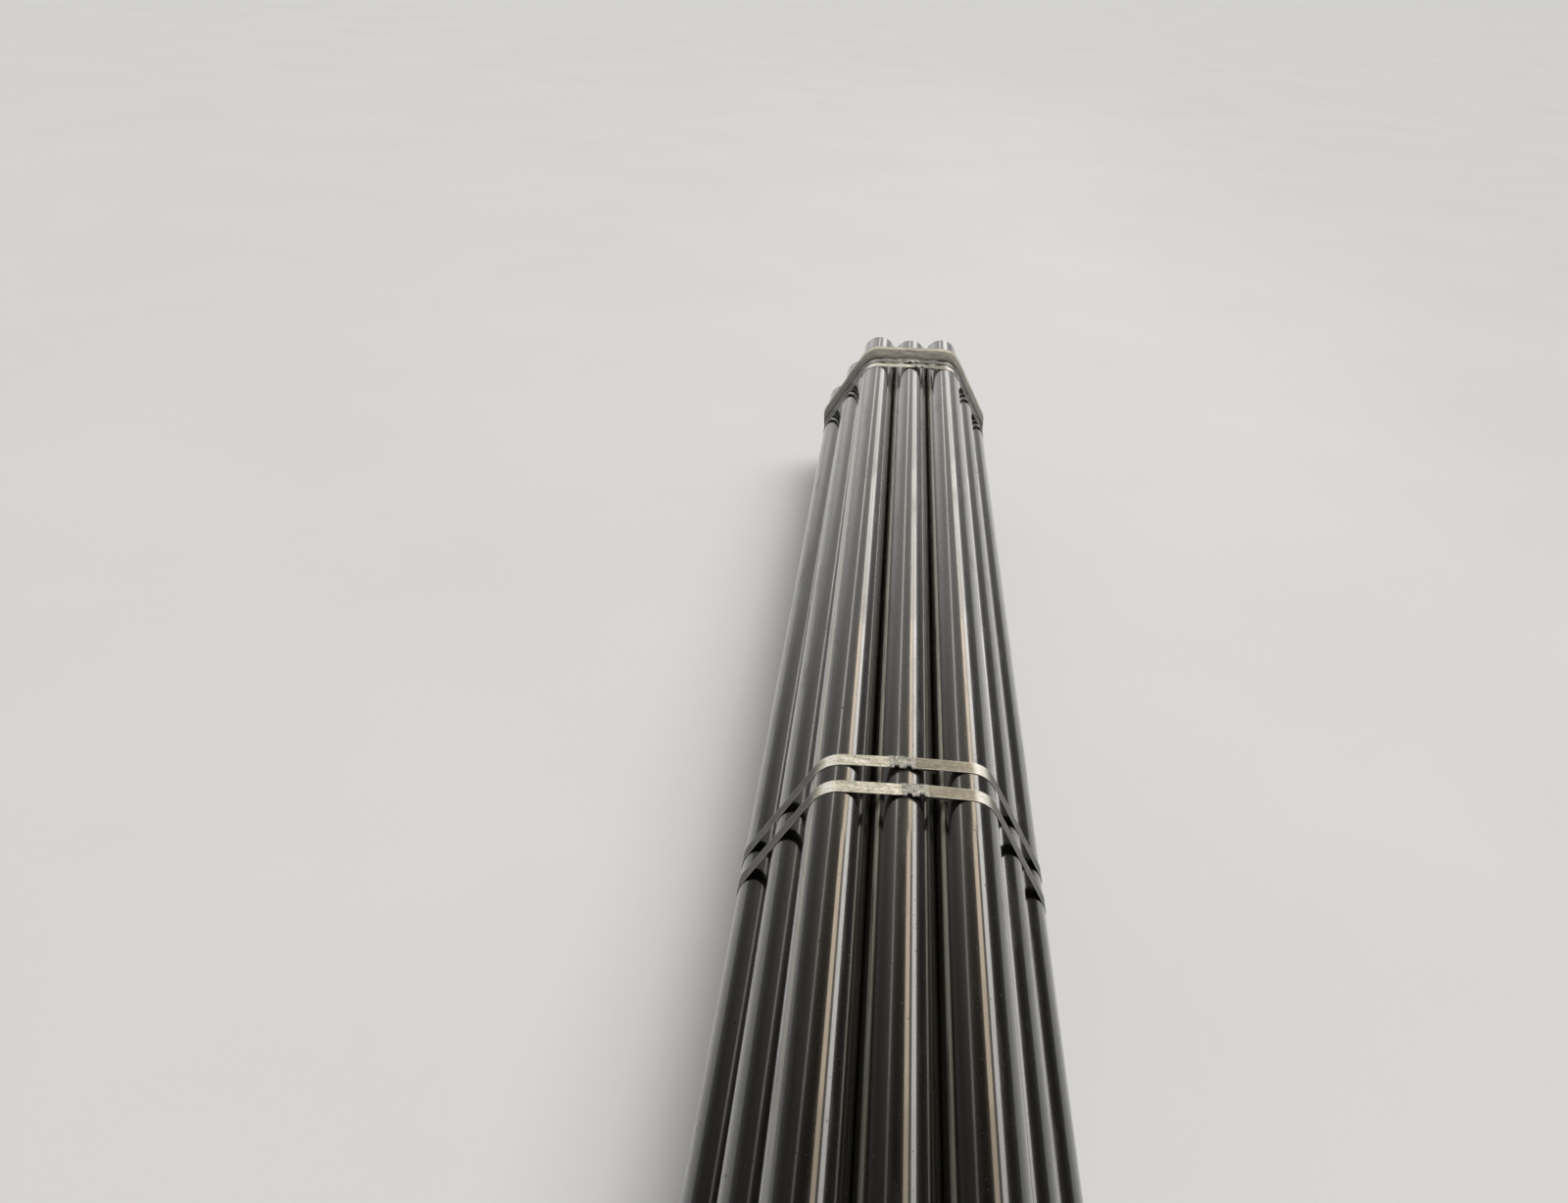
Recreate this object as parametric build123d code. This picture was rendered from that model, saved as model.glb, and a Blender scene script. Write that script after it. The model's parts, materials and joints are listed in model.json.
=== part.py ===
from build123d import *
import os
from math import cos, radians, sin, sqrt, tan

# Hexagonal bundle of steel pipes, held by pairs of steel straps with crimped seals
# and by a flat woven lifting band near each end.
# Units are millimetres. The pipes run along Y, Z is up, and the bundle rests on its
# two lifting bands. The origin is the middle of the underside of the whole bundle.

# Pipes
PIPE_OD = 114.3
PIPE_WALL = 6.02
PIPE_LENGTH = 5800.0
BEVEL_ANGLE = 30.0
ROOT_FACE = 1.6
PIPE_CLEARANCE = 0.3
ROWS = (3, 4, 5, 4, 3)
# How far each pipe is slid along Y from its nominal place, row by row from the top left
END_SHIFTS = (
    (-4, -16, 20),
    (3, -12, 17, -8),
    (-6, 13, -20, 5, 15),
    (11, -8, 24, -17),
    (-24, 9, 19),
)

# Steel straps, lapped flat a little past both ends of their seals
STRAP_WIDTH = 32.0
STRAP_THICKNESS = 0.9
STRAP_CLEARANCE = 0.3
LAP_CLEARANCE = 0.15
LAP_OVERRUN = 3.0
TAIL_LENGTH = 34.0
TAIL_DROOP = 12.0
# How far each strap's seal sits from the middle of the top run
SEAL_OFFSETS = {
    "far_1": 4.0,
    "far_2": 26.0,
    "mid_1": -7.0,
    "mid_2": 17.0,
    "near_1": -6.0,
    "near_2": 15.0,
}
# How many degrees each strap runs askew, its right side towards the far end
STRAP_SKEWS = {
    "far_1": 7.5,
    "far_2": 7.0,
    "mid_1": 3.8,
    "mid_2": 3.4,
    "near_1": 4.0,
    "near_2": 4.5,
}

# Seals: a sheet steel sleeve folded round the lap, with its lips turned under the strap
SEAL_LENGTH = 48.0
SEAL_THICKNESS = 1.1
SEAL_CLEARANCE = 0.2
SEAL_LIP = 11.0
SEAL_BEND = 0.5

# Crimps: notches cut through the edges of seal and strap, with each cut tab turned up
NOTCH_SPACING = 22.0
NOTCH_MOUTH = 10.0
NOTCH_ROOT = 7.0
NOTCH_DEPTH = 7.0
TAB_CLEARANCE = 0.25
TAB_LIFT = 55.0

# Woven lifting bands, hugging the pipes on one edge and standing off on the other,
# how much thinner each is pressed under the bundle, and how many degrees each runs askew
SLING_WIDTH = 90.0
SLING_THICKNESS = 3.2
SLING_SQUASH = 0.2
SLING_CLEARANCE = 0.3
SLING_FLARE = 7.0
SLING_LAP_LENGTH = 150.0
FAR_SLING_SKEW = 8.0
NEAR_SLING_SKEW = 5.0

# Places along the bundle, from the nominal pipe end inwards
SLING_INSET = 162.0
SLING_TO_STRAP = 13.0
END_PAIR_GAP = 20.0
MID_PAIR_GAP = 49.0
MID_PAIR_OFFSET = 163.0

# Sizes that follow
PIPE_RADIUS = PIPE_OD / 2
BORE_RADIUS = PIPE_RADIUS - PIPE_WALL
PITCH = PIPE_OD + PIPE_CLEARANCE
ROW_RISE = PITCH * sin(radians(60))
HALF_HEIGHT = (len(ROWS) - 1) / 2 * ROW_RISE
HEX_SPAN = (max(ROWS) - 1) / 2 * PITCH
TOP_REACH = (ROWS[0] - 1) / 2 * PITCH
CENTRE_Z = SLING_THICKNESS - SLING_SQUASH + SLING_CLEARANCE + PIPE_RADIUS + HALF_HEIGHT
TOP_AXIS_Z = CENTRE_Z + HALF_HEIGHT
STRAP_REACH = PIPE_RADIUS + STRAP_CLEARANCE
SEAT_Z = TOP_AXIS_Z + STRAP_REACH
SLING_REACH = PIPE_RADIUS + SLING_CLEARANCE

# The seal's section follows the two strap layers that it holds
LAP_HEIGHT = 2 * STRAP_THICKNESS + LAP_CLEARANCE
SEAL_WIDTH = STRAP_WIDTH + 2 * (SEAL_CLEARANCE + SEAL_THICKNESS)
SEAL_HEIGHT = LAP_HEIGHT + 2 * (SEAL_CLEARANCE + SEAL_THICKNESS)
LOWER_LAYER_Z = SEAT_Z + SEAL_THICKNESS + SEAL_CLEARANCE
UPPER_LAYER_Z = LOWER_LAYER_Z + STRAP_THICKNESS + LAP_CLEARANCE

# How far cutting shapes run past what they cut
PAST = 6.0


def pipe_shape():
    """One pipe about the Y axis, with both ends bevelled down to a root face."""
    half = PIPE_LENGTH / 2
    land = BORE_RADIUS + ROOT_FACE
    bevel = (PIPE_WALL - ROOT_FACE) * tan(radians(BEVEL_ANGLE))
    wall = Polyline(
        (BORE_RADIUS, -half),
        (land, -half),
        (PIPE_RADIUS, bevel - half),
        (PIPE_RADIUS, half - bevel),
        (land, half),
        (BORE_RADIUS, half),
        close=True,
    )
    return revolve(make_face(wall), Axis.Y)


def pipe_places():
    """The middle of every pipe's axis, row by row from the top left."""
    places = []
    for row, count in enumerate(ROWS):
        z = TOP_AXIS_Z - row * ROW_RISE
        for k in range(count):
            x = (k - (count - 1) / 2) * PITCH
            places.append((x, END_SHIFTS[row][k], z))
    return places


def hex_outline(reach, lift=0.0):
    """In X and Z: the hexagon through the corner pipes' axes, swollen by reach with round corners."""
    corners = []
    for k in range(6):
        angle = radians(60 * k)
        corners.append((HEX_SPAN * cos(angle), CENTRE_Z + lift + HEX_SPAN * sin(angle)))
    return offset(make_face(Polyline(*corners, close=True)), amount=reach, kind=Kind.ARC)


def across_at(profile, y):
    """Stand a profile drawn in X and Z at the place y along the bundle."""
    return Plane.XZ.offset(-y) * profile


def strip(points, thickness):
    """In X and Z: a strip of sheet whose underside follows the points."""
    top = [(x, z + thickness) for x, z in reversed(points)]
    return make_face(Polyline(*points, *top, close=True))


def tail_tip_height(x):
    """The tail springs down by its droop, or until its tip meets the next pipe of the top row."""
    sprung = LOWER_LAYER_Z - TAIL_LENGTH * tan(radians(TAIL_DROOP))
    axes = [(k - (ROWS[0] - 1) / 2) * PITCH for k in range(ROWS[0])]
    nearest = min(abs(x - axis) for axis in axes)
    resting = TOP_AXIS_Z + sqrt(max(STRAP_REACH**2 - nearest**2, 0))
    return max(sprung, resting)


def strap_profile(seal_x):
    """In X and Z: the strap round the pipes, its two ends lapped where the seal holds them."""
    loop = hex_outline(STRAP_REACH + STRAP_THICKNESS) - hex_outline(STRAP_REACH)
    top_run = Pos(0, SEAT_Z + STRAP_THICKNESS / 2) * Rectangle(2 * TOP_REACH, 3 * STRAP_THICKNESS)
    left = seal_x - SEAL_LENGTH / 2 - LAP_OVERRUN
    right = seal_x + SEAL_LENGTH / 2 + LAP_OVERRUN
    tip_x = right + TAIL_LENGTH
    lower_end = strip(
        [
            (-TOP_REACH, SEAT_Z),
            (left, LOWER_LAYER_Z),
            (right, LOWER_LAYER_Z),
            (tip_x, tail_tip_height(tip_x)),
        ],
        STRAP_THICKNESS,
    )
    upper_end = strip(
        [
            (left, UPPER_LAYER_Z),
            (right, UPPER_LAYER_Z),
            (TOP_REACH, SEAT_Z),
        ],
        STRAP_THICKNESS,
    )
    return loop - top_run + lower_end + upper_end


def seal_blank(seal_x, y_mid):
    """The folded sleeve before it is crimped: open below, between its two lips."""
    sleeve = RectangleRounded(SEAL_WIDTH, SEAL_HEIGHT, SEAL_BEND + SEAL_THICKNESS)
    inside = RectangleRounded(
        SEAL_WIDTH - 2 * SEAL_THICKNESS, SEAL_HEIGHT - 2 * SEAL_THICKNESS, SEAL_BEND
    )
    mouth = Pos(0, -SEAL_HEIGHT / 2) * Rectangle(SEAL_WIDTH - 2 * SEAL_LIP, 3 * SEAL_THICKNESS)
    section = sleeve - inside - mouth
    start = Plane.YZ.offset(seal_x - SEAL_LENGTH / 2)
    return extrude(start * Pos(y_mid, SEAT_Z + SEAL_HEIGHT / 2) * section, amount=SEAL_LENGTH)


def notch_column(x, root_y, side, root_width, mouth_width):
    """An upright column over a notch or tab, run inwards past its root for the fold."""
    root = root_width / 2
    mouth = mouth_width / 2
    edge_y = root_y + side * (NOTCH_DEPTH + SEAL_CLEARANCE)
    plan = Polyline(
        (x - root, root_y - side * PAST),
        (x - root, root_y),
        (x - mouth, edge_y),
        (x + mouth, edge_y),
        (x + root, root_y),
        (x + root, root_y - side * PAST),
        close=True,
    )
    column = Plane.XY.offset(SEAT_Z - PAST) * make_face(plan)
    return extrude(column, amount=SEAL_HEIGHT + 2 * PAST, dir=(0, 0, 1))


def fold_side(x, root_y, side):
    """Everything outside the mitre plane of a fold about the notch's root, under the seal."""
    lean = tan(radians(TAB_LIFT / 2))
    top = SEAL_HEIGHT + PAST
    reach = NOTCH_DEPTH + PAST
    slope = Polyline(
        (root_y + side * lean * PAST, SEAT_Z - PAST),
        (root_y - side * lean * top, SEAT_Z + top),
        (root_y + side * reach, SEAT_Z + top),
        (root_y + side * reach, SEAT_Z - PAST),
        close=True,
    )
    start = Plane.YZ.offset(x - NOTCH_MOUTH)
    return extrude(start * make_face(slope), amount=2 * NOTCH_MOUTH, dir=(1, 0, 0))


def crimp(body, seal_x, y_mid):
    """Cut the four notches of one seal through a body and turn its own tabs up in them."""
    tab_width = NOTCH_ROOT - 2 * TAB_CLEARANCE
    for along in (-1, 1):
        for side in (-1, 1):
            x = seal_x + along * NOTCH_SPACING / 2
            root_y = y_mid + side * (SEAL_WIDTH / 2 - NOTCH_DEPTH)
            outside = fold_side(x, root_y, side)
            fold = Axis((x, root_y, SEAT_Z), (1, 0, 0))
            flat_tab = body & notch_column(x, root_y, side, tab_width, tab_width)
            tab = flat_tab.rotate(fold, side * TAB_LIFT) & outside
            notch = notch_column(x, root_y, side, NOTCH_ROOT, NOTCH_MOUTH) & outside
            body = body - notch + tab
    return body


def side_drift(x, skew):
    """How far something that runs askew has moved along Y at x from the middle."""
    return x * tan(radians(skew))


def prism(profile, y_mid, skew, width):
    """A profile drawn in X and Z, run along Y far enough for an askew cut of that width."""
    depth = width + side_drift(2 * HEX_SPAN, abs(skew))
    return extrude(across_at(profile, y_mid - depth), amount=2 * depth, dir=(0, 1, 0))


def turned(shape, x, y, angle):
    """Turn a shape about the upright line through x and y."""
    return shape.rotate(Axis((x, y, 0), (0, 0, 1)), angle)


def strap_shape(seal_x, y_mid, skew):
    """One strap, a strip on edge cut askew round the bundle and crimped under its seal."""
    swath = Pos(0, y_mid, CENTRE_Z) * Rot(0, 0, skew) * Box(4 * HEX_SPAN, STRAP_WIDTH, 4 * HEX_SPAN)
    band = prism(strap_profile(seal_x), y_mid, skew, STRAP_WIDTH) & swath
    seal_y = y_mid + side_drift(seal_x, skew)
    squared = turned(band, seal_x, seal_y, -skew)
    return turned(crimp(squared, seal_x, seal_y), seal_x, seal_y, skew)


def seal_shape(seal_x, y_mid, skew):
    """One seal, crimped on the strap's lap and turned with the strap."""
    seal_y = y_mid + side_drift(seal_x, skew)
    return turned(crimp(seal_blank(seal_x, seal_y), seal_x, seal_y), seal_x, seal_y, skew)


def askew_outline(reach, lift, y_mid, skew):
    """The outline round the bundle where an upright plane cuts it askew."""
    angle = radians(skew)
    cut = Plane((0, y_mid, 0), x_dir=(cos(angle), sin(angle), 0), z_dir=(-sin(angle), cos(angle), 0))
    return section(prism(hex_outline(reach, lift), y_mid, skew, SLING_WIDTH), section_by=cut)


def sling_skin(reach, y_hug, y_free, skew):
    """The solid inside a band that hugs the pipes at y_hug and stands off at y_free."""
    hug = askew_outline(reach, 0.0, y_hug, skew)
    free = askew_outline(reach + SLING_FLARE, SLING_FLARE, y_free, skew)
    return loft([hug, free], ruled=True)


def sling_shape(y_hug, y_free, skew):
    """One endless woven band, lapped and sewn on its lower left run and pressed flat below."""
    inner = sling_skin(SLING_REACH, y_hug, y_free, skew)
    outer = sling_skin(SLING_REACH + SLING_THICKNESS, y_hug, y_free, skew)
    lapped = sling_skin(SLING_REACH + 2 * SLING_THICKNESS, y_hug, y_free, skew)
    run_out = HEX_SPAN * cos(radians(30)) + SLING_REACH
    sewn = Box(4 * SLING_FLARE + 4 * SLING_THICKNESS, 4 * SLING_WIDTH, SLING_LAP_LENGTH)
    y_mid = (y_hug + y_free) / 2
    lower_left = Pos(0, y_mid, CENTRE_Z) * Rot(0, -30, 0) * Pos(-run_out, 0, 0)
    pressed = Pos(0, y_mid, -PAST / 2) * Box(4 * HEX_SPAN, 4 * SLING_WIDTH, PAST)
    return outer - inner - pressed + ((lapped - outer) & lower_left * sewn)


def strap_places():
    """The middle of each strap along Y."""
    end = PIPE_LENGTH / 2
    first = end - SLING_INSET - SLING_WIDTH - SLING_TO_STRAP - STRAP_WIDTH / 2
    second = first - STRAP_WIDTH - END_PAIR_GAP
    mid_step = (STRAP_WIDTH + MID_PAIR_GAP) / 2
    return {
        "far_1": first,
        "far_2": second,
        "mid_1": MID_PAIR_OFFSET + mid_step,
        "mid_2": MID_PAIR_OFFSET - mid_step,
        "near_1": -second,
        "near_2": -first,
    }


def build():
    """Every piece of the bundle by its node name."""
    nodes = {}
    pipe = pipe_shape()
    for number, place in enumerate(pipe_places(), start=1):
        nodes[f"pipe_{number:02d}"] = Pos(*place) * pipe
    for name, y_mid in strap_places().items():
        nodes["strap_" + name] = strap_shape(SEAL_OFFSETS[name], y_mid, STRAP_SKEWS[name])
        nodes["seal_" + name] = seal_shape(SEAL_OFFSETS[name], y_mid, STRAP_SKEWS[name])
    free_edge = PIPE_LENGTH / 2 - SLING_INSET
    hug_edge = free_edge - SLING_WIDTH
    nodes["sling_far"] = sling_shape(hug_edge, free_edge, FAR_SLING_SKEW)
    nodes["sling_near"] = sling_shape(-hug_edge, -free_edge, NEAR_SLING_SKEW)
    return nodes


os.makedirs("parts", exist_ok=True)
for node, shape in build().items():
    export_step(shape, f"parts/{node}.step")
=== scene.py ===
"""Dresses the bundle of steel pipes: finishes, woven bands, floor, lights and camera."""

import json
from math import atan, cos, pi, radians, sin, sqrt, tan

import bmesh
import bpy
from mathutils import Matrix, Vector


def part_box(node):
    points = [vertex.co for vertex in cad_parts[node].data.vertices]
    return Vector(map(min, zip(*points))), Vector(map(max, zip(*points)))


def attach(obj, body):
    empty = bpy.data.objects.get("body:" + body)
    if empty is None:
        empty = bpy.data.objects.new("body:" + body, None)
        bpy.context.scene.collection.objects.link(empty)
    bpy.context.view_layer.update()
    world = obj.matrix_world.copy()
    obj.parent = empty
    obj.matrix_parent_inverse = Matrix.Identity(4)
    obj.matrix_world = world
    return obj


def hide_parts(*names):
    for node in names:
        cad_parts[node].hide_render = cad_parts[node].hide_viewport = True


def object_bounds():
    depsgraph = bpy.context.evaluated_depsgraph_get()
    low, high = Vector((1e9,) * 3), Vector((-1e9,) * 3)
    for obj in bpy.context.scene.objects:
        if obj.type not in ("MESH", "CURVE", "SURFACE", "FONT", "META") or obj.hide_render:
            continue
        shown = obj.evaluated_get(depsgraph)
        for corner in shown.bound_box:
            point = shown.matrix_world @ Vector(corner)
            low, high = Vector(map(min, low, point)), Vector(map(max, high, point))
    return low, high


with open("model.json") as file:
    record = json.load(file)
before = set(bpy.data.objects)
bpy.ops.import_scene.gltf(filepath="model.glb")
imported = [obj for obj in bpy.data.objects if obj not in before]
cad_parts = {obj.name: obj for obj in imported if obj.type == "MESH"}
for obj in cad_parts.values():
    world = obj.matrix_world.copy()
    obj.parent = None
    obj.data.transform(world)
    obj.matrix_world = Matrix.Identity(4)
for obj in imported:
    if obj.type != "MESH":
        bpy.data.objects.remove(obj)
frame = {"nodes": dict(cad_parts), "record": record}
cad_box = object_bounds()
scene = bpy.context.scene

# Sizes in metres that the frame does not give by itself. A woven band is 0.2 mm thinner than its
# CAD solid, which is cut flat by as much below
BAND_THICKNESS = 0.003
BAND_FLARE = 0.007
BAND_CLEARANCE = 0.0003
PIPE_CLEARANCE = 0.0003
BEVEL = 0.00255
ROOT_FACE = 0.0016
LAP_LENGTH = 0.150
RIB_RISE = 0.0005
SELVEDGE_REACH = 0.0022
UNDERSIDE_LIFT = 0.00005
THREAD_SINK = 0.0001
CORD_PITCH = 0.0032
CROSS_THREAD_PITCH = 0.0024
# How many degrees each band runs askew, its right side towards the far end
BAND_SKEWS = {"sling_far": 8.0, "sling_near": 5.0}
# How thick a band's very edge is, as a share of its thickness
SELVEDGE_SHARE = 0.45
# The lap's seams: shares across the band, the steps along the lap where it is sewn across, and
# the share of the width that this leaves free at each edge
SEAM_SHARES = (0.07, 0.24, 0.41, 0.59, 0.76, 0.93)
CROSS_SEAM_PLACES = (2, 5, -6, -3)
CROSS_SEAM_MARGIN = 0.05

# How finely the turned and swept surfaces are divided
PIPE_STEPS_ROUND = 96
PIPE_STEPS_ALONG = 36
BORE_STEPS_ALONG = 12
CORNER_STEPS = 18
RUN_STEPS = 40
LAP_STEPS = 50
RIBS = 14
STEPS_IN_A_RIB = 5
CROSS_SEAM_STEPS = 20
# Points this near each other are one, and edges of more degrees than these stay sharp
WELD_DISTANCE = 1e-6
PIPE_SHARP_ANGLE = 20
BAND_SHARP_ANGLE = 50

# Faces that lie no further than this outside the bore's radius get the bore's finish
BORE_MARGIN = 0.0005
# A top pipe's painted olive reflection, a dust-coloured line, lies left of its axis by this share
# of the pipes' pitch
OLIVE_REFLECTION_SHARE = 0.41
# The straps' corners lie this far outside the axes of the outer top pipes; there each gets a
# painted glint
BEND_OUTSIDE_AXIS = 0.024
# The points of a strap that lie this near the side of its box show where it runs there
SIDE_TOLERANCE = 0.003
# Each strap's patterns start this much further on than those of the one before
PATTERN_STEP = 4.7
# The straps that lie beside the bands, which get a painted shadow of the band
SHADED_STRAPS = ("strap_far_1", "strap_near_2")

# Colours of the finishes, as linear red, green and blue
VARNISH_BLACK = (0.0009, 0.0008, 0.0006)
VARNISH_BROWN = (0.0046, 0.0035, 0.0025)
THIN_DUST = (0.10, 0.086, 0.066)
WORN_VARNISH = (0.13, 0.118, 0.10)
DUST_SPECK = (0.16, 0.145, 0.12)
VALLEY_DUST = (0.17, 0.158, 0.122)
# Dust-coloured olive of the broken line on each top pipe, a painted reflection
PAINTED_OLIVE_REFLECTION = (0.46, 0.45, 0.36)
TURNED_DARK = (0.30, 0.29, 0.27)
TURNED_LIGHT = (0.48, 0.46, 0.43)
FRESH_RUST = (0.20, 0.095, 0.045)
BORE_GRIT = (0.10, 0.085, 0.07)
# Painted shade of the straps' sloping runs, lighter on the run right of the seal
SLOPE_PAINTED_SHADE_DARK = (0.008, 0.008, 0.007)
SLOPE_PAINTED_SHADE_LIGHT = (0.070, 0.067, 0.058)
SLOPE_PAINTED_SHADE_RIGHT = (0.115, 0.110, 0.094)
# Painted glint where the straps turn round the outer top pipes
BEND_PAINTED_GLINT = (1.0, 0.95, 0.85)
ZINC_SCRATCH = (0.86, 0.83, 0.74)
ZINC_DIRT = (0.15, 0.13, 0.095)
ZINC_PIT = (0.06, 0.052, 0.040)
ZINC_EDGE = (0.80, 0.77, 0.68)
# Dark mottled painted shadow of a band on the strap beside it
PAINTED_BAND_SHADOW = (0.060, 0.054, 0.043)
SEAL_DARK = (0.24, 0.245, 0.22)
SEAL_LIGHT = (0.44, 0.445, 0.41)
# Bright spots on the seal, partly pressing and partly a painted glint
SEAL_PRESSED_AND_GLINT = (0.92, 0.92, 0.90)
# Dark smudges on the seal, partly dirt and partly painted shade of its crimps
SEAL_SMUDGE_AND_SHADE = (0.045, 0.042, 0.036)
CORD_SHADE = (0.07, 0.062, 0.052)
CROSS_THREAD = (0.38, 0.355, 0.30)
# Painted shade along a band's inner edge and a painted highlight along its outer edge
INNER_EDGE_PAINTED_SHADE = (0.050, 0.044, 0.036)
OUTER_EDGE_PAINTED_HIGHLIGHT = (0.78, 0.72, 0.57)
BAND_GRIME = (0.06, 0.052, 0.042)
# Painted shade of a band below its top run, deepest on the left
BAND_SIDE_PAINTED_SHADE = (0.045, 0.040, 0.033)
THREAD_DARK = (0.30, 0.28, 0.23)
THREAD_LIGHT = (0.52, 0.49, 0.42)
FLOOR_DARK = (0.72, 0.715, 0.70)
FLOOR_LIGHT = (0.78, 0.775, 0.76)
BACKDROP = (0.640, 0.632, 0.614)

# Ramps of the finishes: places along a pattern, each with its colour
BORE_SCALE = [
    (0.30, (0.028, 0.024, 0.021)),
    (0.55, (0.070, 0.048, 0.034)),
    (0.75, (0.135, 0.072, 0.040)),
]
# Painted reflection of a strap left of its seal: lit and bright
ZINC_PAINTED_LIT = [
    (0.38, (0.30, 0.27, 0.195)),
    (0.50, (0.62, 0.58, 0.455)),
    (0.60, (0.90, 0.87, 0.755)),
]
# Painted reflection of a strap right of its seal: duller, as if in shade
ZINC_PAINTED_SHADED = [
    (0.36, (0.125, 0.114, 0.083)),
    (0.50, (0.190, 0.175, 0.132)),
    (0.64, (0.29, 0.272, 0.215)),
]
WEBBING = [
    (0.38, (0.085, 0.077, 0.062)),
    (0.50, (0.21, 0.195, 0.155)),
    (0.62, (0.42, 0.39, 0.325)),
]

# The sky's colour from the horizon, at 0, to overhead, at 1
SKY_UPWARDS = [
    (0.00, (1.00, 0.99, 0.97)),
    (0.16, (0.98, 0.96, 0.93)),
    (0.30, (0.60, 0.585, 0.56)),
    (0.52, (0.56, 0.535, 0.50)),
    (0.61, (0.36, 0.325, 0.275)),
    (0.70, (0.150, 0.130, 0.104)),
    (0.78, (0.058, 0.049, 0.039)),
    (0.86, (0.020, 0.018, 0.015)),
    (1.00, (0.018, 0.017, 0.015)),
]
# How much of it is left, from the far left, at 0, to the far right, at 1
SKY_SIDEWAYS = (
    (0.00, 0.16),
    (0.17, 0.24),
    (0.24, 0.44),
    (0.34, 1.00),
    (0.57, 1.00),
    (0.65, 0.38),
    (0.74, 0.20),
    (0.82, 0.10),
    (1.00, 0.10),
)
# Reflections show the backdrop where their direction's Z is below this
BACKDROP_EDGE = 0.03
# The floor reaches this many metres each way
FLOOR_REACH = 300.0

# The long lamps: how far they hang from the top of the bundle. Their leans and widths are in
# degrees as seen from there, a lean from the upright towards +X
LAMP_DISTANCE = 3.2
WHITE_LEAN = 39.0
WHITE_WIDTH = 14.0
WARM_WIDTH = 13.0
DIM_WIDTH = 6.0
# The dim strip's lean at Y 0, how it changes with each metre of Y, and from which Y on
DIM_LEAN = -36.0
DIM_LEAN_A_METRE = 2.2
DIM_TURNS_FROM = -3.0
WHITE_LIGHT = (1.0, 0.97, 0.93)
DIM_LIGHT = (1.0, 0.98, 0.90)
AMBER_LIGHT = (1.0, 0.83, 0.62)
CREAM_LIGHT = (1.0, 0.95, 0.88)
# From Y to Y, the warm strip's lean and colour, and how bright the white, warm and dim strips are
LAMP_SPANS = (
    (-16.0, -3.0, 18.0, CREAM_LIGHT, 3.0, 2.2, 0.5),
    (-3.0, 0.9, 18.0, CREAM_LIGHT, 2.6, 1.7, 0.3),
    (0.9, 1.5, 18.0, CREAM_LIGHT, 3.4, 2.3, 0.5),
    (1.5, 2.1, 18.0, AMBER_LIGHT, 4.2, 3.4, 0.9),
    (2.1, 4.0, 18.0, AMBER_LIGHT, 4.8, 4.6, 1.3),
    (4.0, 6.5, 23.0, AMBER_LIGHT, 4.4, 4.2, 2.1),
    (6.5, 9.5, 24.0, CREAM_LIGHT, 2.7, 2.4, 1.9),
    (9.5, 18.0, 24.0, CREAM_LIGHT, 1.6, 1.3, 1.9),
)
# The soft lamp: its strength, how many degrees wide it is, and its tilt about X, Y and Z
SOFT_STRENGTH = 2.7
SOFT_SPREAD = 60
SOFT_TILT = (-18, 14, 0)

# The camera: where it stands, its axes, and the field of a frame 1600 pixels wide
CAMERA_PLACE = (-0.12915, -1.65230, 1.84670)
CAMERA_RIGHT = (0.99375824, 0.09419372, 0.05976707)
CAMERA_UP = (-0.09759381, 0.47456129, 0.87479542)
CAMERA_FORWARD = (-0.0540371, 0.87516805, -0.48079192)
FOCAL_PIXELS = 1258.74
FRAME_PIXELS = 1600
SENSOR = 36.0

PIPES = sorted(name for name in frame["nodes"] if name.startswith("pipe_"))
STRAPS = sorted(name for name in frame["nodes"] if name.startswith("strap_"))
BORES = {m["name"]: m for m in frame["record"]["mounts"] if m["kind"] == "bore"}
BORE_RADIUS = BORES["pipe_01_bore"]["dims"]["r_mm"] / 1000


def wire(tree, kind, settings=None, sockets=None):
    """Add one node to a tree: its settings first, then the values or links of its sockets."""
    node = tree.nodes.new(kind)
    for name, value in (settings or {}).items():
        if name == "stops":
            while len(node.color_ramp.elements) < len(value):
                node.color_ramp.elements.new(0.5)
            for element, (position, colour) in zip(node.color_ramp.elements, value):
                element.position = position
                element.color = (*colour, 1.0)
        else:
            setattr(node, name, value)
    for key, value in (sockets or {}).items():
        value = getattr(value, "socket", value)
        if isinstance(value, bpy.types.NodeSocket):
            tree.links.new(value, node.inputs[key])
        else:
            node.inputs[key].default_value = value
    return node


def reckoned(tree, operation, *numbers, clamped=False):
    """The result of one Math node on numbers and sockets."""
    settings = {"operation": operation, "use_clamp": clamped}
    return wire(tree, "ShaderNodeMath", settings, dict(enumerate(numbers))).outputs[0]


class Value:
    """A shader socket that takes part in sums as a number does."""

    def __init__(self, finish, socket):
        self.finish = finish
        self.socket = socket

    def reckon(self, operation, left, right):
        return Value(self.finish, reckoned(self.finish.tree, operation, left, right))

    def __add__(self, other):
        return self.reckon("ADD", self, other)

    def __radd__(self, other):
        return self.reckon("ADD", other, self)

    def __sub__(self, other):
        return self.reckon("SUBTRACT", self, other)

    def __rsub__(self, other):
        return self.reckon("SUBTRACT", other, self)

    def __mul__(self, other):
        return self.reckon("MULTIPLY", self, other)

    def __rmul__(self, other):
        return self.reckon("MULTIPLY", other, self)

    def __abs__(self):
        return self.reckon("ABSOLUTE", self, 0.0)

    def sine(self):
        return self.reckon("SINE", self, 0.0)

    def step(self, low, high):
        """Rise smoothly from 0 at low to 1 at high."""
        node = self.finish.add(
            "ShaderNodeMapRange",
            {"interpolation_type": "SMOOTHSTEP"},
            {"Value": self, "From Min": low, "From Max": high},
        )
        return Value(self.finish, node.outputs["Result"])


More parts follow.
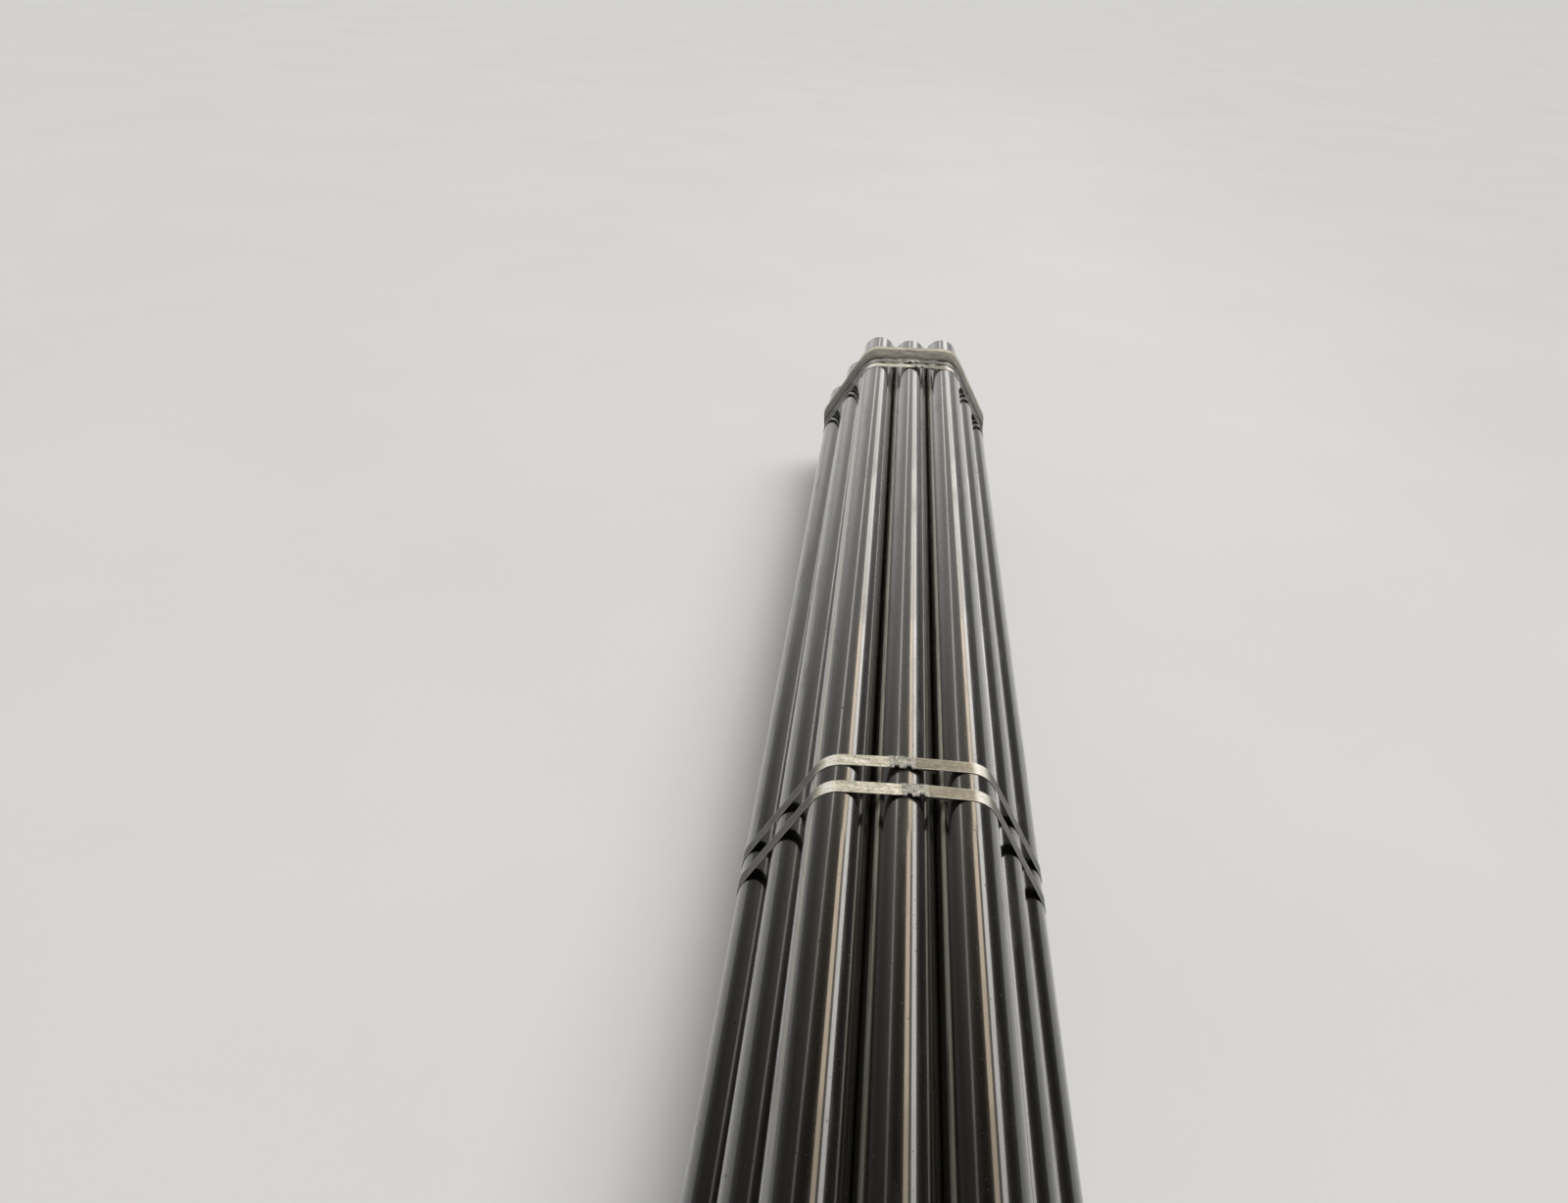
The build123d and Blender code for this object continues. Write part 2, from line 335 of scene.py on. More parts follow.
class Finish:
    """A material being wired, from the piece's coordinates to its Principled shader."""

    def __init__(self, name, **constants):
        self.material = bpy.data.materials.new(name)
        self.material.use_nodes = True
        self.tree = self.material.node_tree
        self.shader = self.tree.nodes["Principled BSDF"]
        for key, value in constants.items():
            self.shader.inputs[key.replace("_", " ")].default_value = value
        self.coordinates = self.add("ShaderNodeTexCoord")
        self.place = self.coordinates.outputs["Object"]

    def add(self, kind, settings=None, sockets=None):
        return wire(self.tree, kind, settings, sockets)

    def aligned(self, angle, y_middle):
        """Coordinates that run along a strap: turned with it, from its middle."""
        node = self.add(
            "ShaderNodeMapping",
            sockets={
                "Vector": self.place,
                "Rotation": (0.0, 0.0, -angle),
                "Location": (-y_middle * sin(angle), -y_middle * cos(angle), 0.0),
            },
        )
        return node.outputs[0]

    def axes(self, source=None):
        """The coordinates one by one."""
        node = self.add("ShaderNodeSeparateXYZ", sockets={0: source or self.place})
        return [Value(self, output) for output in node.outputs]

    def noise(self, grain, detail=3.0, rough=0.5, shift=0.0, source=None):
        """Clouds whose grains are so many metres long in X, Y and Z."""
        spot = self.add(
            "ShaderNodeMapping",
            sockets={
                "Vector": source or self.place,
                "Location": (shift, shift * 0.7, shift * 1.3),
                "Scale": tuple(1 / g for g in grain),
            },
        )
        node = self.add(
            "ShaderNodeTexNoise",
            sockets={
                "Vector": spot.outputs[0],
                "Scale": 1.0,
                "Detail": detail,
                "Roughness": rough,
            },
        )
        return Value(self, node.outputs["Fac"])

    def mix(self, share, first, second):
        """Blend two colours by a share."""
        node = self.add("ShaderNodeMix", {"data_type": "RGBA"}, {0: share})
        for key, colour in ((6, first), (7, second)):
            if isinstance(colour, bpy.types.NodeSocket):
                self.tree.links.new(colour, node.inputs[key])
            else:
                node.inputs[key].default_value = (*colour, 1.0)
        return node.outputs[2]

    def ramp(self, value, stops):
        """Colours along a value."""
        return self.add("ShaderNodeValToRGB", {"stops": stops}, {"Fac": value}).outputs["Color"]

    def bump(self, height, metres):
        """Relief of so many metres where the height is 1."""
        node = self.add("ShaderNodeBump", sockets={"Height": height, "Distance": metres})
        self.feed("Normal", node.outputs["Normal"])

    def feed(self, name, value):
        self.tree.links.new(getattr(value, "socket", value), self.shader.inputs[name])


def pipe_varnish():
    """Glossy black-brown varnish with long faint streaks, wear and dust.

    Dust lies in the valleys of the top row, and along each top pipe in a broken line that stands
    in for a dull olive reflection in the photograph.
    """
    finish = Finish("pipe_varnish", IOR=1.5, Coat_Roughness=0.05, Coat_IOR=1.5)
    first, second = (sum(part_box(name), Vector()) / 2 for name in PIPES[:2])
    pitch = second.x - first.x
    x, y, z = finish.axes()
    above = (z - first.z).step(0.000, 0.006)
    valley = (1.0 - abs(abs(x) - pitch / 2).step(0.002, 0.014)) * above
    # A broken dust-coloured line left of each top pipe's crest, fainter towards the near end, is a
    # painted olive reflection
    crest = ((x + pitch * OLIVE_REFLECTION_SHARE) * (2 * pi / pitch) + pi / 2).sine()
    broken = finish.noise((0.006, 0.30, 0.006), 3.0, 0.5, 83.0).step(0.28, 0.46)
    olive_reflection_line = crest.step(0.978, 0.997) * above * broken * (y.step(-0.8, 0.4) * 0.65 + 0.35)
    farther = y.step(0.5, 2.4)
    patches = finish.noise((0.06, 0.5, 0.06), 3.0)
    streaks = finish.noise((0.0035, 0.9, 0.0035), 4.0, 0.6, 3.0)
    dust = finish.noise((0.03, 0.22, 0.03), 5.0, 0.6, 11.0).step(0.50, 0.74)
    scuffs = finish.noise((0.0035, 0.016, 0.0035), 3.0, 0.55, 23.0).step(0.69, 0.75)
    handled = finish.noise((0.08, 0.35, 0.08), 2.0, 0.5, 31.0).step(0.50, 0.62)
    specks = finish.noise((0.0016, 0.0022, 0.0016), 2.0, 0.5, 41.0).step(0.72, 0.78)
    nicks = finish.noise((0.0040, 0.0070, 0.0040), 2.0, 0.5, 71.0).step(0.700, 0.74)
    worn = scuffs * handled
    tone = finish.mix(patches * 0.6 + streaks * 0.4, VARNISH_BLACK, VARNISH_BROWN)
    tone = finish.mix(dust * 0.04, tone, THIN_DUST)
    tone = finish.mix(worn * 0.5, tone, WORN_VARNISH)
    tone = finish.mix(specks * 0.25, tone, DUST_SPECK)
    tone = finish.mix(valley * (patches * 0.16 + farther * 0.35 + 0.04), tone, VALLEY_DUST)
    tone = finish.mix(olive_reflection_line * 0.88, tone, PAINTED_OLIVE_REFLECTION)
    finish.feed("Base Color", tone)
    rough = 0.15 + streaks * 0.12 + dust * 0.14 + worn * 0.3 + specks * 0.2 + nicks * 0.5
    finish.feed("Roughness", rough)
    coat = 0.95 - dust * 0.2 - worn * 0.7 - specks * 0.4 - nicks * 0.9 - olive_reflection_line * 0.4
    finish.feed("Coat Weight", coat)
    rolled = finish.noise((0.03, 0.20, 0.03), 2.0, 0.5, 53.0)
    peel = finish.noise((0.004, 0.012, 0.004), 2.0, 0.5, 61.0)
    relief = rolled * 0.8 + peel * 0.05 + streaks * 0.03 - worn * 0.15 - nicks * 0.5
    finish.bump(relief, 0.00012)
    return finish.material


def pipe_end_steel():
    """Machined bevel and root face, bright with a little fresh rust."""
    finish = Finish("pipe_end_steel", Metallic=0.85)
    rust = finish.noise((0.006, 0.006, 0.006), 5.0, 0.6).step(0.52, 0.68)
    turned = finish.noise((0.0006, 0.004, 0.0006), 2.0, 0.5, 5.0)
    tone = finish.mix(turned, TURNED_DARK, TURNED_LIGHT)
    finish.feed("Base Color", finish.mix(rust * 0.75, tone, FRESH_RUST))
    finish.feed("Roughness", 0.34 + rust * 0.38)
    finish.bump(turned * 0.5 + rust * 0.5, 0.00006)
    return finish.material


def pipe_bore_scale():
    """Bare inside of the pipe: dull mill scale with light rust."""
    finish = Finish("pipe_bore_scale")
    cloud = finish.noise((0.02, 0.09, 0.02), 5.0, 0.65)
    grit = finish.noise((0.0018, 0.003, 0.0018), 3.0, 0.6, 7.0)
    tone = finish.ramp(cloud, BORE_SCALE)
    finish.feed("Base Color", finish.mix(grit * 0.4, tone, BORE_GRIT))
    finish.feed("Roughness", 0.62 + grit * 0.3)
    finish.bump(grit + cloud * 0.6, 0.00012)
    return finish.material


def strap_line(strap):
    """A strap's angle from square, its place along Y at the middle, and half its width."""
    low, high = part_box(strap)
    points = [vertex.co for vertex in frame["nodes"][strap].data.vertices]
    sides = []
    for x in (low.x, high.x):
        ys = [point.y for point in points if abs(point.x - x) < SIDE_TOLERANCE]
        sides.append((min(ys), max(ys)))
    middles = [(near + far) / 2 for near, far in sides]
    angle = atan((middles[1] - middles[0]) / (high.x - low.x))
    half_width = min(far - near for near, far in sides) / 2 * cos(angle)
    return angle, sum(middles) / 2, half_width


def strap_zinc(strap, seal, bend_x, shift):
    """Galvanised strip with painted light: a bright painted reflection left of its seal,
    a duller painted reflection right of it, painted shade on the sloping runs and a painted
    glint at its corners.

    A strap that lies beside a band also gets a dark, mottled painted shadow of that band.
    """
    angle, y_middle, half_width = strap_line(strap)
    seal_low, seal_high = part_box(seal)
    seal_x = (seal_low.x + seal_high.x) / 2
    finish = Finish(strap + "_zinc", IOR=1.45)
    along = finish.aligned(angle, y_middle)
    x, y, z = finish.axes(along)
    scratches = finish.noise((0.09, 0.0006, 0.09), 3.0, 0.6, shift, along)
    smears = finish.noise((0.05, 0.007, 0.05), 4.0, 0.6, shift + 9.0, along)
    spangle = finish.noise((0.006, 0.004, 0.006), 3.0, 0.6, shift + 17.0, along)
    dirt = finish.noise((0.022, 0.007, 0.022), 4.0, 0.65, shift + 29.0, along).step(0.53, 0.64)
    pits = finish.noise((0.0034, 0.0022, 0.0034), 2.0, 0.5, shift + 37.0, along).step(0.64, 0.70)
    edge = abs(y).step(half_width - 0.0024, half_width - 0.0004)
    right = (x + smears * 0.01).step(seal_x, seal_x + 0.004)
    bend_glint = 1.0 - abs(abs(x) - bend_x).step(0.004, 0.020)
    sloping = (seal_low.z - z + smears * 0.01).step(0.012, 0.042)
    blend = smears * 0.5 + spangle * 0.5
    # These are painted reflections: lit left of the seal, duller right of it
    bright = finish.ramp(blend, ZINC_PAINTED_LIT)
    dull = finish.ramp(blend, ZINC_PAINTED_SHADED)
    # The sloping runs get painted shade, lighter right of the seal
    slope_shade = finish.mix(blend, SLOPE_PAINTED_SHADE_DARK, SLOPE_PAINTED_SHADE_LIGHT)
    slope_shade = finish.mix(right * 0.45, slope_shade, SLOPE_PAINTED_SHADE_RIGHT)
    tone = finish.mix(right, bright, dull)
    tone = finish.mix(sloping, tone, slope_shade)
    # A painted glint where the strap turns round an outer top pipe
    tone = finish.mix(bend_glint * 0.85, tone, BEND_PAINTED_GLINT)
    tone = finish.mix(scratches.step(0.56, 0.68) * (0.35 - sloping * 0.20), tone, ZINC_SCRATCH)
    tone = finish.mix(dirt * (0.55 - right * 0.30), tone, ZINC_DIRT)
    tone = finish.mix(pits * 0.70, tone, ZINC_PIT)
    tone = finish.mix(edge * 0.45, tone, ZINC_EDGE)
    # A strap beside a band gets a dark, mottled painted shadow of the band
    if strap in SHADED_STRAPS:
        band_shadow = finish.noise((0.030, 0.012, 0.030), 5.0, 0.65, shift + 43.0, along)
        tone = finish.mix(band_shadow.step(0.32, 0.50) * 0.85, tone, PAINTED_BAND_SHADOW)
    finish.feed("Base Color", tone)
    metal = 0.25 + right * 0.10 + sloping * 0.25 - dirt * 0.20 - bend_glint * 0.20
    finish.feed("Metallic", metal)
    finish.feed("Roughness", 0.32 + scratches * 0.14 + dirt * 0.2)
    finish.bump(scratches * 0.25 + smears * 0.6 + spangle * 0.2 - pits * 0.25, 0.00012)
    return finish.material


def seal_zinc():
    """Crimped sheet: bright spots of pressing that are partly painted glints, among dark smudges
    that are partly painted shade of the crimps.
    """
    finish = Finish("seal_zinc", IOR=1.45)
    # Dark smudges stand partly for painted shade of the crimps, bright spots partly for painted
    # glints
    smudge_and_shade = finish.noise((0.010, 0.008, 0.010), 4.0, 0.6).step(0.50, 0.68)
    pressed_and_glint = finish.noise((0.005, 0.004, 0.005), 3.0, 0.6, 13.0).step(0.50, 0.70)
    scratches = finish.noise((0.03, 0.0005, 0.03), 3.0, 0.6, 19.0)
    tone = finish.mix(scratches, SEAL_DARK, SEAL_LIGHT)
    tone = finish.mix(pressed_and_glint * 0.7, tone, SEAL_PRESSED_AND_GLINT)
    tone = finish.mix(smudge_and_shade * 0.75, tone, SEAL_SMUDGE_AND_SHADE)
    finish.feed("Base Color", tone)
    finish.feed("Metallic", 0.60 - smudge_and_shade * 0.4)
    finish.feed("Roughness", 0.27 + scratches * 0.12 + smudge_and_shade * 0.3)
    finish.bump(pressed_and_glint * 0.5 + scratches * 0.3, 0.00012)
    return finish.material


def band_webbing():
    """Woven polyester band: cords along it and threads across, with painted shade along its inner
    edge and a painted highlight along its outer edge.

    Below its top run it is darker, with painted shade, most of all on the left.
    """
    finish = Finish("band_webbing", Sheen_Weight=0.25, Sheen_Roughness=0.5)
    woven = finish.coordinates.outputs["UV"]
    along, across, _ = finish.axes(woven)
    cross = (along * (2 * pi / CROSS_THREAD_PITCH)).sine() * 0.5 + 0.5
    cords = (across * (2 * pi / CORD_PITCH)).sine() * 0.5 + 0.5
    fibres = finish.noise((0.012, 0.0007, 1.0), 3.0, 0.6, source=woven)
    fading = finish.noise((0.045, 0.012, 1.0), 4.0, 0.6, 3.0, woven)
    grime = finish.noise((0.07, 0.03, 0.07), 5.0, 0.6, 5.0).step(0.42, 0.66)
    # The dark inner edge is painted shade and the pale outer edge a painted highlight
    outer_edge_highlight = (across + fading * 0.020).step(0.070, 0.086)
    inner_edge_shade = 1.0 - (across + fading * 0.02).step(0.012, 0.046)
    x, _, z = finish.axes()
    # sides is painted shade below the band's top run, deeper on the left
    sides = (cad_box[1].z - z).step(0.030, 0.085) * (0.55 - x.step(-0.05, 0.05) * 0.30)
    tone = finish.ramp(fading * 0.75 + fibres * 0.25, WEBBING)
    tone = finish.mix(cords * 0.18, tone, CORD_SHADE)
    tone = finish.mix(cross * 0.22, tone, CROSS_THREAD)
    tone = finish.mix(inner_edge_shade * 0.70, tone, INNER_EDGE_PAINTED_SHADE)
    tone = finish.mix(outer_edge_highlight * 0.85, tone, OUTER_EDGE_PAINTED_HIGHLIGHT)
    tone = finish.mix(grime * 0.45, tone, BAND_GRIME)
    tone = finish.mix(sides, tone, BAND_SIDE_PAINTED_SHADE)
    finish.feed("Base Color", tone)
    finish.feed("Roughness", 0.78 + fibres * 0.18)
    finish.bump(cords * cross + fibres * 0.3, 0.0005)
    return finish.material


def band_thread():
    """Sewing thread of the band's lap."""
    finish = Finish("band_thread", Sheen_Weight=0.2)
    twist = finish.noise((0.0006, 0.0006, 0.0006), 2.0)
    finish.feed("Base Color", finish.mix(twist, THREAD_DARK, THREAD_LIGHT))
    finish.feed("Roughness", 0.6 + twist * 0.3)
    finish.bump(twist, 0.0002)
    return finish.material


def geometry_tree(name, inputs):
    """A Geometry Nodes tree with a geometry in and out, and the named inputs after it."""
    tree = bpy.data.node_groups.new(name, "GeometryNodeTree")
    tree.interface.new_socket("Geometry", in_out="INPUT", socket_type="NodeSocketGeometry")
    for label, kind in inputs.items():
        tree.interface.new_socket(label, in_out="INPUT", socket_type="NodeSocket" + kind)
    tree.interface.new_socket("Geometry", in_out="OUTPUT", socket_type="NodeSocketGeometry")
    return tree, tree.nodes.new("NodeGroupInput"), tree.nodes.new("NodeGroupOutput")


def turned_pipe_tree():
    """Turn a wall section round the Y axis, and finish its outside, ends and bore."""
    tree, given, result = geometry_tree(
        "turned_pipe",
        {
            "Turning radius": "Float",
            "Bore radius": "Float",
            "Half length": "Float",
            "Steps round": "Int",
            "Middle": "Vector",
            "Outside": "Material",
            "Ends": "Material",
            "Bore": "Material",
        },
    )
    take = given.outputs
    section = wire(tree, "GeometryNodeMeshToCurve", sockets={"Mesh": take["Geometry"]})
    ring = wire(
        tree,
        "GeometryNodeCurvePrimitiveCircle",
        sockets={"Resolution": take["Steps round"], "Radius": take["Turning radius"]},
    )
    skin = wire(
        tree,
        "GeometryNodeCurveToMesh",
        sockets={"Curve": ring.outputs["Curve"], "Profile Curve": section.outputs["Curve"]},
    )
    stand = wire(
        tree,
        "GeometryNodeTransform",
        sockets={"Geometry": skin.outputs["Mesh"], "Rotation": (-pi / 2, 0.0, 0.0)},
    )
    spot = wire(tree, "GeometryNodeInputPosition")
    parts = wire(tree, "ShaderNodeSeparateXYZ", sockets={0: spot.outputs[0]}).outputs
    flat = wire(tree, "ShaderNodeCombineXYZ", sockets={"X": parts["X"], "Y": parts["Z"]})
    radius = wire(tree, "ShaderNodeVectorMath", {"operation": "LENGTH"}, {0: flat.outputs[0]})
    bore_reach = reckoned(tree, "ADD", take["Bore radius"], BORE_MARGIN)
    inside = reckoned(tree, "LESS_THAN", radius.outputs["Value"], bore_reach)
    reach = reckoned(tree, "ABSOLUTE", parts["Y"])
    brink = reckoned(tree, "SUBTRACT", take["Half length"], BEVEL)
    beyond = reckoned(tree, "GREATER_THAN", reach, brink)
    dressed = stand.outputs["Geometry"]
    for material, faces in (("Outside", None), ("Ends", beyond), ("Bore", inside)):
        sockets = {"Geometry": dressed, "Material": take[material]}
        if faces is not None:
            sockets["Selection"] = faces
        dressed = wire(tree, "GeometryNodeSetMaterial", sockets=sockets).outputs[0]
    moved = wire(
        tree,
        "GeometryNodeTransform",
        sockets={"Geometry": dressed, "Translation": take["Middle"]},
    )
    real = wire(tree, "GeometryNodeRealizeInstances", sockets={"Geometry": moved.outputs[0]})
    tree.links.new(real.outputs[0], result.inputs[0])
    return tree


def stitch_tree():
    """Lay short rounded stitches of thread end to end along the seams."""
    tree, given, result = geometry_tree(
        "stitched_seam",
        {
            "Stitch pitch": "Float",
            "Stitch length": "Float",
            "Thread radius": "Float",
            "Shortest": "Float",
            "Longest": "Float",
            "Seed": "Int",
            "Thread": "Material",
        },
    )
    take = given.outputs
    seam = wire(tree, "GeometryNodeMeshToCurve", sockets={"Mesh": take["Geometry"]})
    points = wire(
        tree,
        "GeometryNodeCurveToPoints",
        {"mode": "LENGTH"},
        {"Curve": seam.outputs["Curve"], "Length": take["Stitch pitch"]},
    )
    thread = wire(
        tree,
        "GeometryNodeMeshUVSphere",
        sockets={"Segments": 8, "Rings": 6, "Radius": 1.0},
    )
    half = reckoned(tree, "MULTIPLY", take["Stitch length"], 0.5)
    size = wire(
        tree,
        "ShaderNodeCombineXYZ",
        sockets={"X": take["Thread radius"], "Y": take["Thread radius"], "Z": half},
    )
    stitch = wire(
        tree,
        "GeometryNodeTransform",
        sockets={"Geometry": thread.outputs["Mesh"], "Scale": size.outputs[0]},
    )
    uneven = wire(
        tree,
        "FunctionNodeRandomValue",
        {"data_type": "FLOAT"},
        {2: take["Shortest"], 3: take["Longest"], "Seed": take["Seed"]},
    )
    laid = wire(
        tree,
        "GeometryNodeInstanceOnPoints",
        sockets={
            "Points": points.outputs["Points"],
            "Instance": stitch.outputs["Geometry"],
            "Rotation": points.outputs["Rotation"],
            "Scale": uneven.outputs[1],
        },
    )
    real = wire(tree, "GeometryNodeRealizeInstances", sockets={"Geometry": laid.outputs[0]})
    dressed = wire(
        tree,
        "GeometryNodeSetMaterial",
        sockets={"Geometry": real.outputs[0], "Material": take["Thread"]},
    )
    tree.links.new(dressed.outputs[0], result.inputs[0])
    return tree


def shown(name, mesh):
    """Put a finished mesh into the scene at the origin."""
    piece = bpy.data.objects.new(name, mesh)
    scene.collection.objects.link(piece)
    return piece


def grown(name, seed_mesh, tree, values):
    """Run a Geometry Nodes tree on a mesh and keep the result as a plain mesh."""
    holder = shown(name + "_holder", seed_mesh)
    modifier = holder.modifiers.new("grow", "NODES")
    modifier.node_group = tree
    for item in tree.interface.items_tree:
        if item.in_out == "INPUT" and item.name in values:
            modifier[item.identifier] = values[item.name]
    bpy.context.view_layer.update()
    evaluated = holder.evaluated_get(bpy.context.evaluated_depsgraph_get())
    mesh = bpy.data.meshes.new_from_object(evaluated)
    holder.modifiers.clear()
    bpy.data.objects.remove(holder)
    mesh.name = name
    return mesh


def tidy_surface(mesh, sharp_angle):
    """Weld the mesh, turn its faces outwards and shade it smooth up to the sharp angle."""
    shape = bmesh.new()
    shape.from_mesh(mesh)
    bmesh.ops.remove_doubles(shape, verts=shape.verts, dist=WELD_DISTANCE)
    bmesh.ops.recalc_face_normals(shape, faces=shape.faces)
    for face in shape.faces:
        face.smooth = True
    shape.to_mesh(mesh)
    shape.free()
    mesh.set_sharp_from_angle(angle=radians(sharp_angle))


def wall_section(outer, half):
    """The pipe's wall as a closed line: X is out from the bore, Y is along the pipe."""
    land = BORE_RADIUS + ROOT_FACE
    run = 2 * half - 2 * BEVEL
    shares_out = [k / PIPE_STEPS_ALONG for k in range(PIPE_STEPS_ALONG + 1)]
    shares_back = [k / BORE_STEPS_ALONG for k in range(BORE_STEPS_ALONG + 1)]
    outside = [(outer, -half + BEVEL + run * share) for share in shares_out]
    inside = [(BORE_RADIUS, half - 2 * half * share) for share in shares_back]
    points = [(land, -half), *outside, (land, half), *inside]
    mesh = bpy.data.meshes.new("wall_section")
    mesh.from_pydata(
        [(x - outer, y, 0.0) for x, y in points],
        [(k, (k + 1) % len(points)) for k in range(len(points))],
        [],
    )
    return mesh


def make_pipes():
    """Replace each coarse pipe with a finely turned one in the same place."""
    tree = turned_pipe_tree()
    finishes = {"Outside": pipe_varnish(), "Ends": pipe_end_steel(), "Bore": pipe_bore_scale()}
    for name in PIPES:
        low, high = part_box(name)
        outer = (high.z - low.z) / 2
        half = (high.y - low.y) / 2
        values = {
            "Turning radius": outer,
            "Bore radius": BORE_RADIUS,
            "Half length": half,
            "Steps round": PIPE_STEPS_ROUND,
            "Middle": (low + high) / 2,
            **finishes,
        }
        mesh = grown("fine_" + name, wall_section(outer, half), tree, values)
        tidy_surface(mesh, PIPE_SHARP_ANGLE)
        piece = shown("fine_" + name, mesh)
        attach(piece, "root")
        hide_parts(name)


def dress_straps():
    """Give the CAD straps and seals their galvanised finish."""
    seal_finish = seal_zinc()
    first_low, first_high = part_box(PIPES[0])
    bend_x = -(first_low.x + first_high.x) / 2 + BEND_OUTSIDE_AXIS
    for number, strap in enumerate(STRAPS):
        seal = strap.replace("strap_", "seal_")
        strap_finish = strap_zinc(strap, seal, bend_x, PATTERN_STEP * number)
        for node, material in ((strap, strap_finish), (seal, seal_finish)):
            piece = frame["nodes"][node]
            piece.data.materials.clear()
            piece.data.materials.append(material)


def hexagon_side(k, span, lift, centre_z):
    """Two neighbouring corners of the hexagon of pipe axes, and the direction out between them."""
    middle_z = centre_z + lift
    first, second = (
        Vector((span * cos(pi / 3 * n), middle_z + span * sin(pi / 3 * n))) for n in (k, k + 1)
    )
    after = pi / 3 * k + pi / 6
    return first, second, Vector((cos(after), sin(after)))


def round_hexagon(span, reach, lift, centre_z):
    """Points round the bundle in X and Z, each with its outward direction."""
    points = []
    for k in range(6):
        corner, following, out = hexagon_side(k, span, lift, centre_z)
        for j in range(CORNER_STEPS + 1):
            angle = pi / 3 * k - pi / 6 + pi / 3 * j / CORNER_STEPS
            round_out = Vector((cos(angle), sin(angle)))
            points.append((corner + round_out * reach, round_out))
        for j in range(1, RUN_STEPS):
            points.append((corner.lerp(following, j / RUN_STEPS) + out * reach, out))
    return points


def lapped_run(span, reach, lift, centre_z):
    """Points along the sewn lap, on the middle of the lower left run."""
    corner, following, out = hexagon_side(3, span, lift, centre_z)
    half = LAP_LENGTH / 2 / span
    shares = [0.5 - half + 2 * half * j / LAP_STEPS for j in range(LAP_STEPS + 1)]
    return [(corner.lerp(following, share) + out * reach, out) for share in shares]


class Band:
    """One woven band's lie: where its two edges run, and how far askew."""

    def __init__(self, name, radius, span, centre_z):
        low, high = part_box(name)
        self.drift = tan(radians(BAND_SKEWS[name]))
        hug_side = span + radius + BAND_CLEARANCE + BAND_THICKNESS
        free_side = hug_side + BAND_FLARE
        if low.y > 0:
            self.y_hug = low.y + hug_side * self.drift
            self.y_free = high.y - free_side * self.drift
        else:
            self.y_hug = high.y - hug_side * self.drift
            self.y_free = low.y + free_side * self.drift
        self.width = abs(self.y_free - self.y_hug)
        reach = radius + BAND_CLEARANCE
        self.edges = (
            (span, reach, 0.0, centre_z),
            (span, reach + BAND_FLARE, BAND_FLARE, centre_z),
        )

    def spot(self, hug, free, share, depth):
        """A point of the band, a share of the way across it and so deep in its thickness."""
        base = hug[0].lerp(free[0], share) + hug[1] * depth
        y = self.y_hug + (self.y_free - self.y_hug) * share + base.x * self.drift
        return (base.x, y, base.y)

    def section(self, under):
        """The ribbed section of one layer, as shares across and depths, above its underside."""
        steps = RIBS * STEPS_IN_A_RIB
        upper = []
        for j in range(steps + 1):
            share = j / steps
            swell = abs(sin(pi * RIBS * share)) * RIB_RISE
            edge = min(share, 1 - share) * self.width
            rounding = min(1.0, sqrt(edge / SELVEDGE_REACH))
            full = SELVEDGE_SHARE + (1 - SELVEDGE_SHARE) * rounding
            upper.append((share, under + (BAND_THICKNESS - RIB_RISE + swell) * full))
        below = [(share, under + UNDERSIDE_LIFT) for share, _ in reversed(upper[::STEPS_IN_A_RIB])]
        return upper + below

    def layer(self, name, path, under, closed, webbing):
        """Sweep the ribbed section along a path, closed into a loop or with two cut ends."""
        hug, free = (path(*edge) for edge in self.edges)
        ring = self.section(under)
        around, count = len(ring), len(hug)
        verts = [self.spot(hug[k], free[k], *point) for k in range(count) for point in ring]
        lengths = [0.0]
        for k in range(count):
            lengths.append(lengths[-1] + (hug[(k + 1) % count][0] - hug[k][0]).length)
        faces, uvs = [], []
        for k in range(count if closed else count - 1):
            here, there = k * around, (k + 1) % count * around
            for j in range(around):
                beside = (j + 1) % around
                faces.append((here + j, here + beside, there + beside, there + j))
                a, b = ring[j][0] * self.width, ring[beside][0] * self.width
                uvs += [(lengths[k], a), (lengths[k], b), (lengths[k + 1], b), (lengths[k + 1], a)]
        if not closed:
            for k, order in ((0, 1), (count - 1, -1)):
                faces.append(tuple(k * around + j for j in range(around))[::order])
                uvs += [(lengths[k], ring[j][0] * self.width) for j in range(around)][::order]
        mesh = bpy.data.meshes.new(name)
        mesh.from_pydata(verts, [], faces)
        woven = mesh.uv_layers.new(name="woven")
        for loop, uv in enumerate(uvs):
            woven.data[loop].uv = uv
        mesh.materials.append(webbing)
        tidy_surface(mesh, BAND_SHARP_ANGLE)
        return mesh

    def seam_lines(self):
        """Lines along and across the lap's outer face, where its stitches run."""
        hug, free = (lapped_run(*edge) for edge in self.edges)
        depth = 2 * BAND_THICKNESS - THREAD_SINK
        lines = []
        for share in SEAM_SHARES:
            lines.append([self.spot(a, b, share, depth) for a, b in zip(hug[1:-1], free[1:-1])])
        sewn = 1 - 2 * CROSS_SEAM_MARGIN
        steps = range(CROSS_SEAM_STEPS + 1)
        shares = [CROSS_SEAM_MARGIN + sewn * j / CROSS_SEAM_STEPS for j in steps]
        for k in CROSS_SEAM_PLACES:
            lines.append([self.spot(hug[k], free[k], share, depth) for share in shares])
        verts, edges = [], []
        for line in lines:
            start = len(verts)
            verts += line
            edges += [(j, j + 1) for j in range(start, len(verts) - 1)]
        mesh = bpy.data.meshes.new("seam_lines")
        mesh.from_pydata(verts, edges, [])
        return mesh


